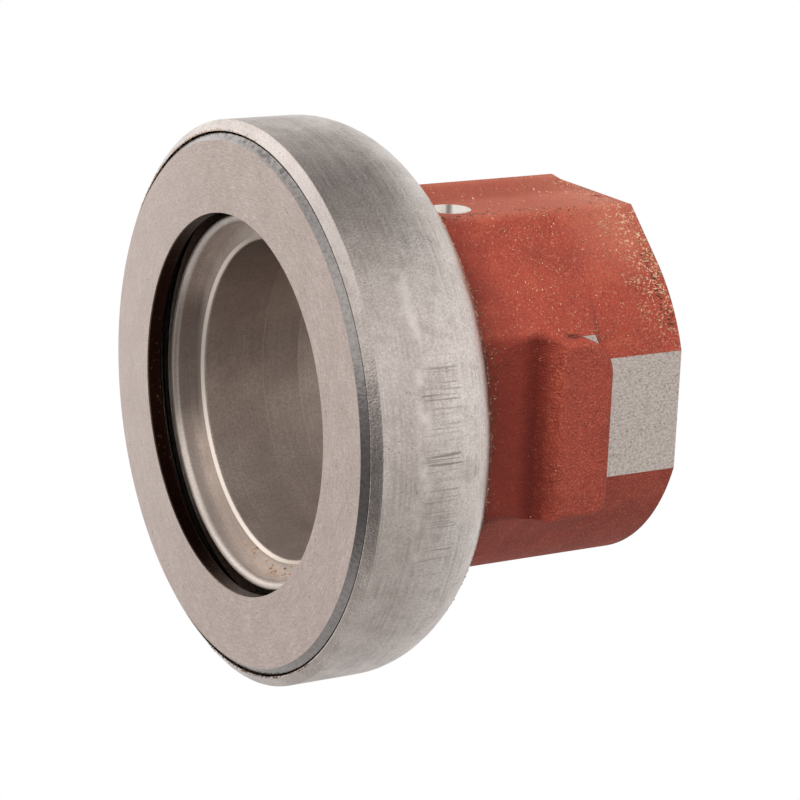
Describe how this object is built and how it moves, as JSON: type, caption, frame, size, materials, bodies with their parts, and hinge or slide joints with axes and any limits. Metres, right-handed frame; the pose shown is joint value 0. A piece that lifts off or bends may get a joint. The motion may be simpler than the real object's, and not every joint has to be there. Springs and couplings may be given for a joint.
{
  "type": "clutch release thrust bearing",
  "caption": "Thrust bearing in a steel cover shell, on a cast sliding sleeve with fork pads, a bored guide hole and a lube port.",
  "frame": {"origin": "on the axis, at the rear end face of the sleeve, which the part stands on", "axes": "+Z along the axis to the thrust face; fork pads face -Y and +Y; the lube flat faces +X"},
  "size_m": [0.105, 0.105, 0.0765],
  "materials": {
    "primed_casting": "red primer on cast iron, bare where machined",
    "drawn_steel": "satin, faint draw marks",
    "ground_steel": "ground face, turned edges",
    "race_steel": "ground",
    "cage_steel": "pressed, matt",
    "ball_steel": "polished"
  },
  "bodies": {
    "carrier": {"sleeve": "primed_casting", "cover_shell": "drawn_steel", "inner_race": "race_steel"},
    "thrust_ring": {"thrust_ring": "ground_steel"},
    "cage": {"ball_cage": "cage_steel", "ball_01": "ball_steel", "ball_02": "ball_steel", "ball_03": "ball_steel", "ball_04": "ball_steel", "ball_05": "ball_steel", "ball_06": "ball_steel", "ball_07": "ball_steel", "ball_08": "ball_steel", "ball_09": "ball_steel", "ball_10": "ball_steel", "ball_11": "ball_steel", "ball_12": "ball_steel", "ball_13": "ball_steel", "ball_14": "ball_steel", "ball_15": "ball_steel", "ball_16": "ball_steel", "ball_17": "ball_steel", "ball_18": "ball_steel", "ball_19": "ball_steel", "ball_20": "ball_steel"}
  },
  "joints": [
    {"name": "thrust_spin", "type": "hinge", "parent": "carrier", "child": "thrust_ring", "pos_m": [0, 0, 0.0633], "axis": [0, 0, 1], "continuous": true},
    {"name": "cage_orbit", "type": "hinge", "parent": "carrier", "child": "cage", "pos_m": [0, 0, 0.0633], "axis": [0, 0, 1], "continuous": true}
  ],
  "couplings": [
    {"joint": "cage_orbit", "follows": "thrust_spin", "ratio": 0.546}
  ]
}
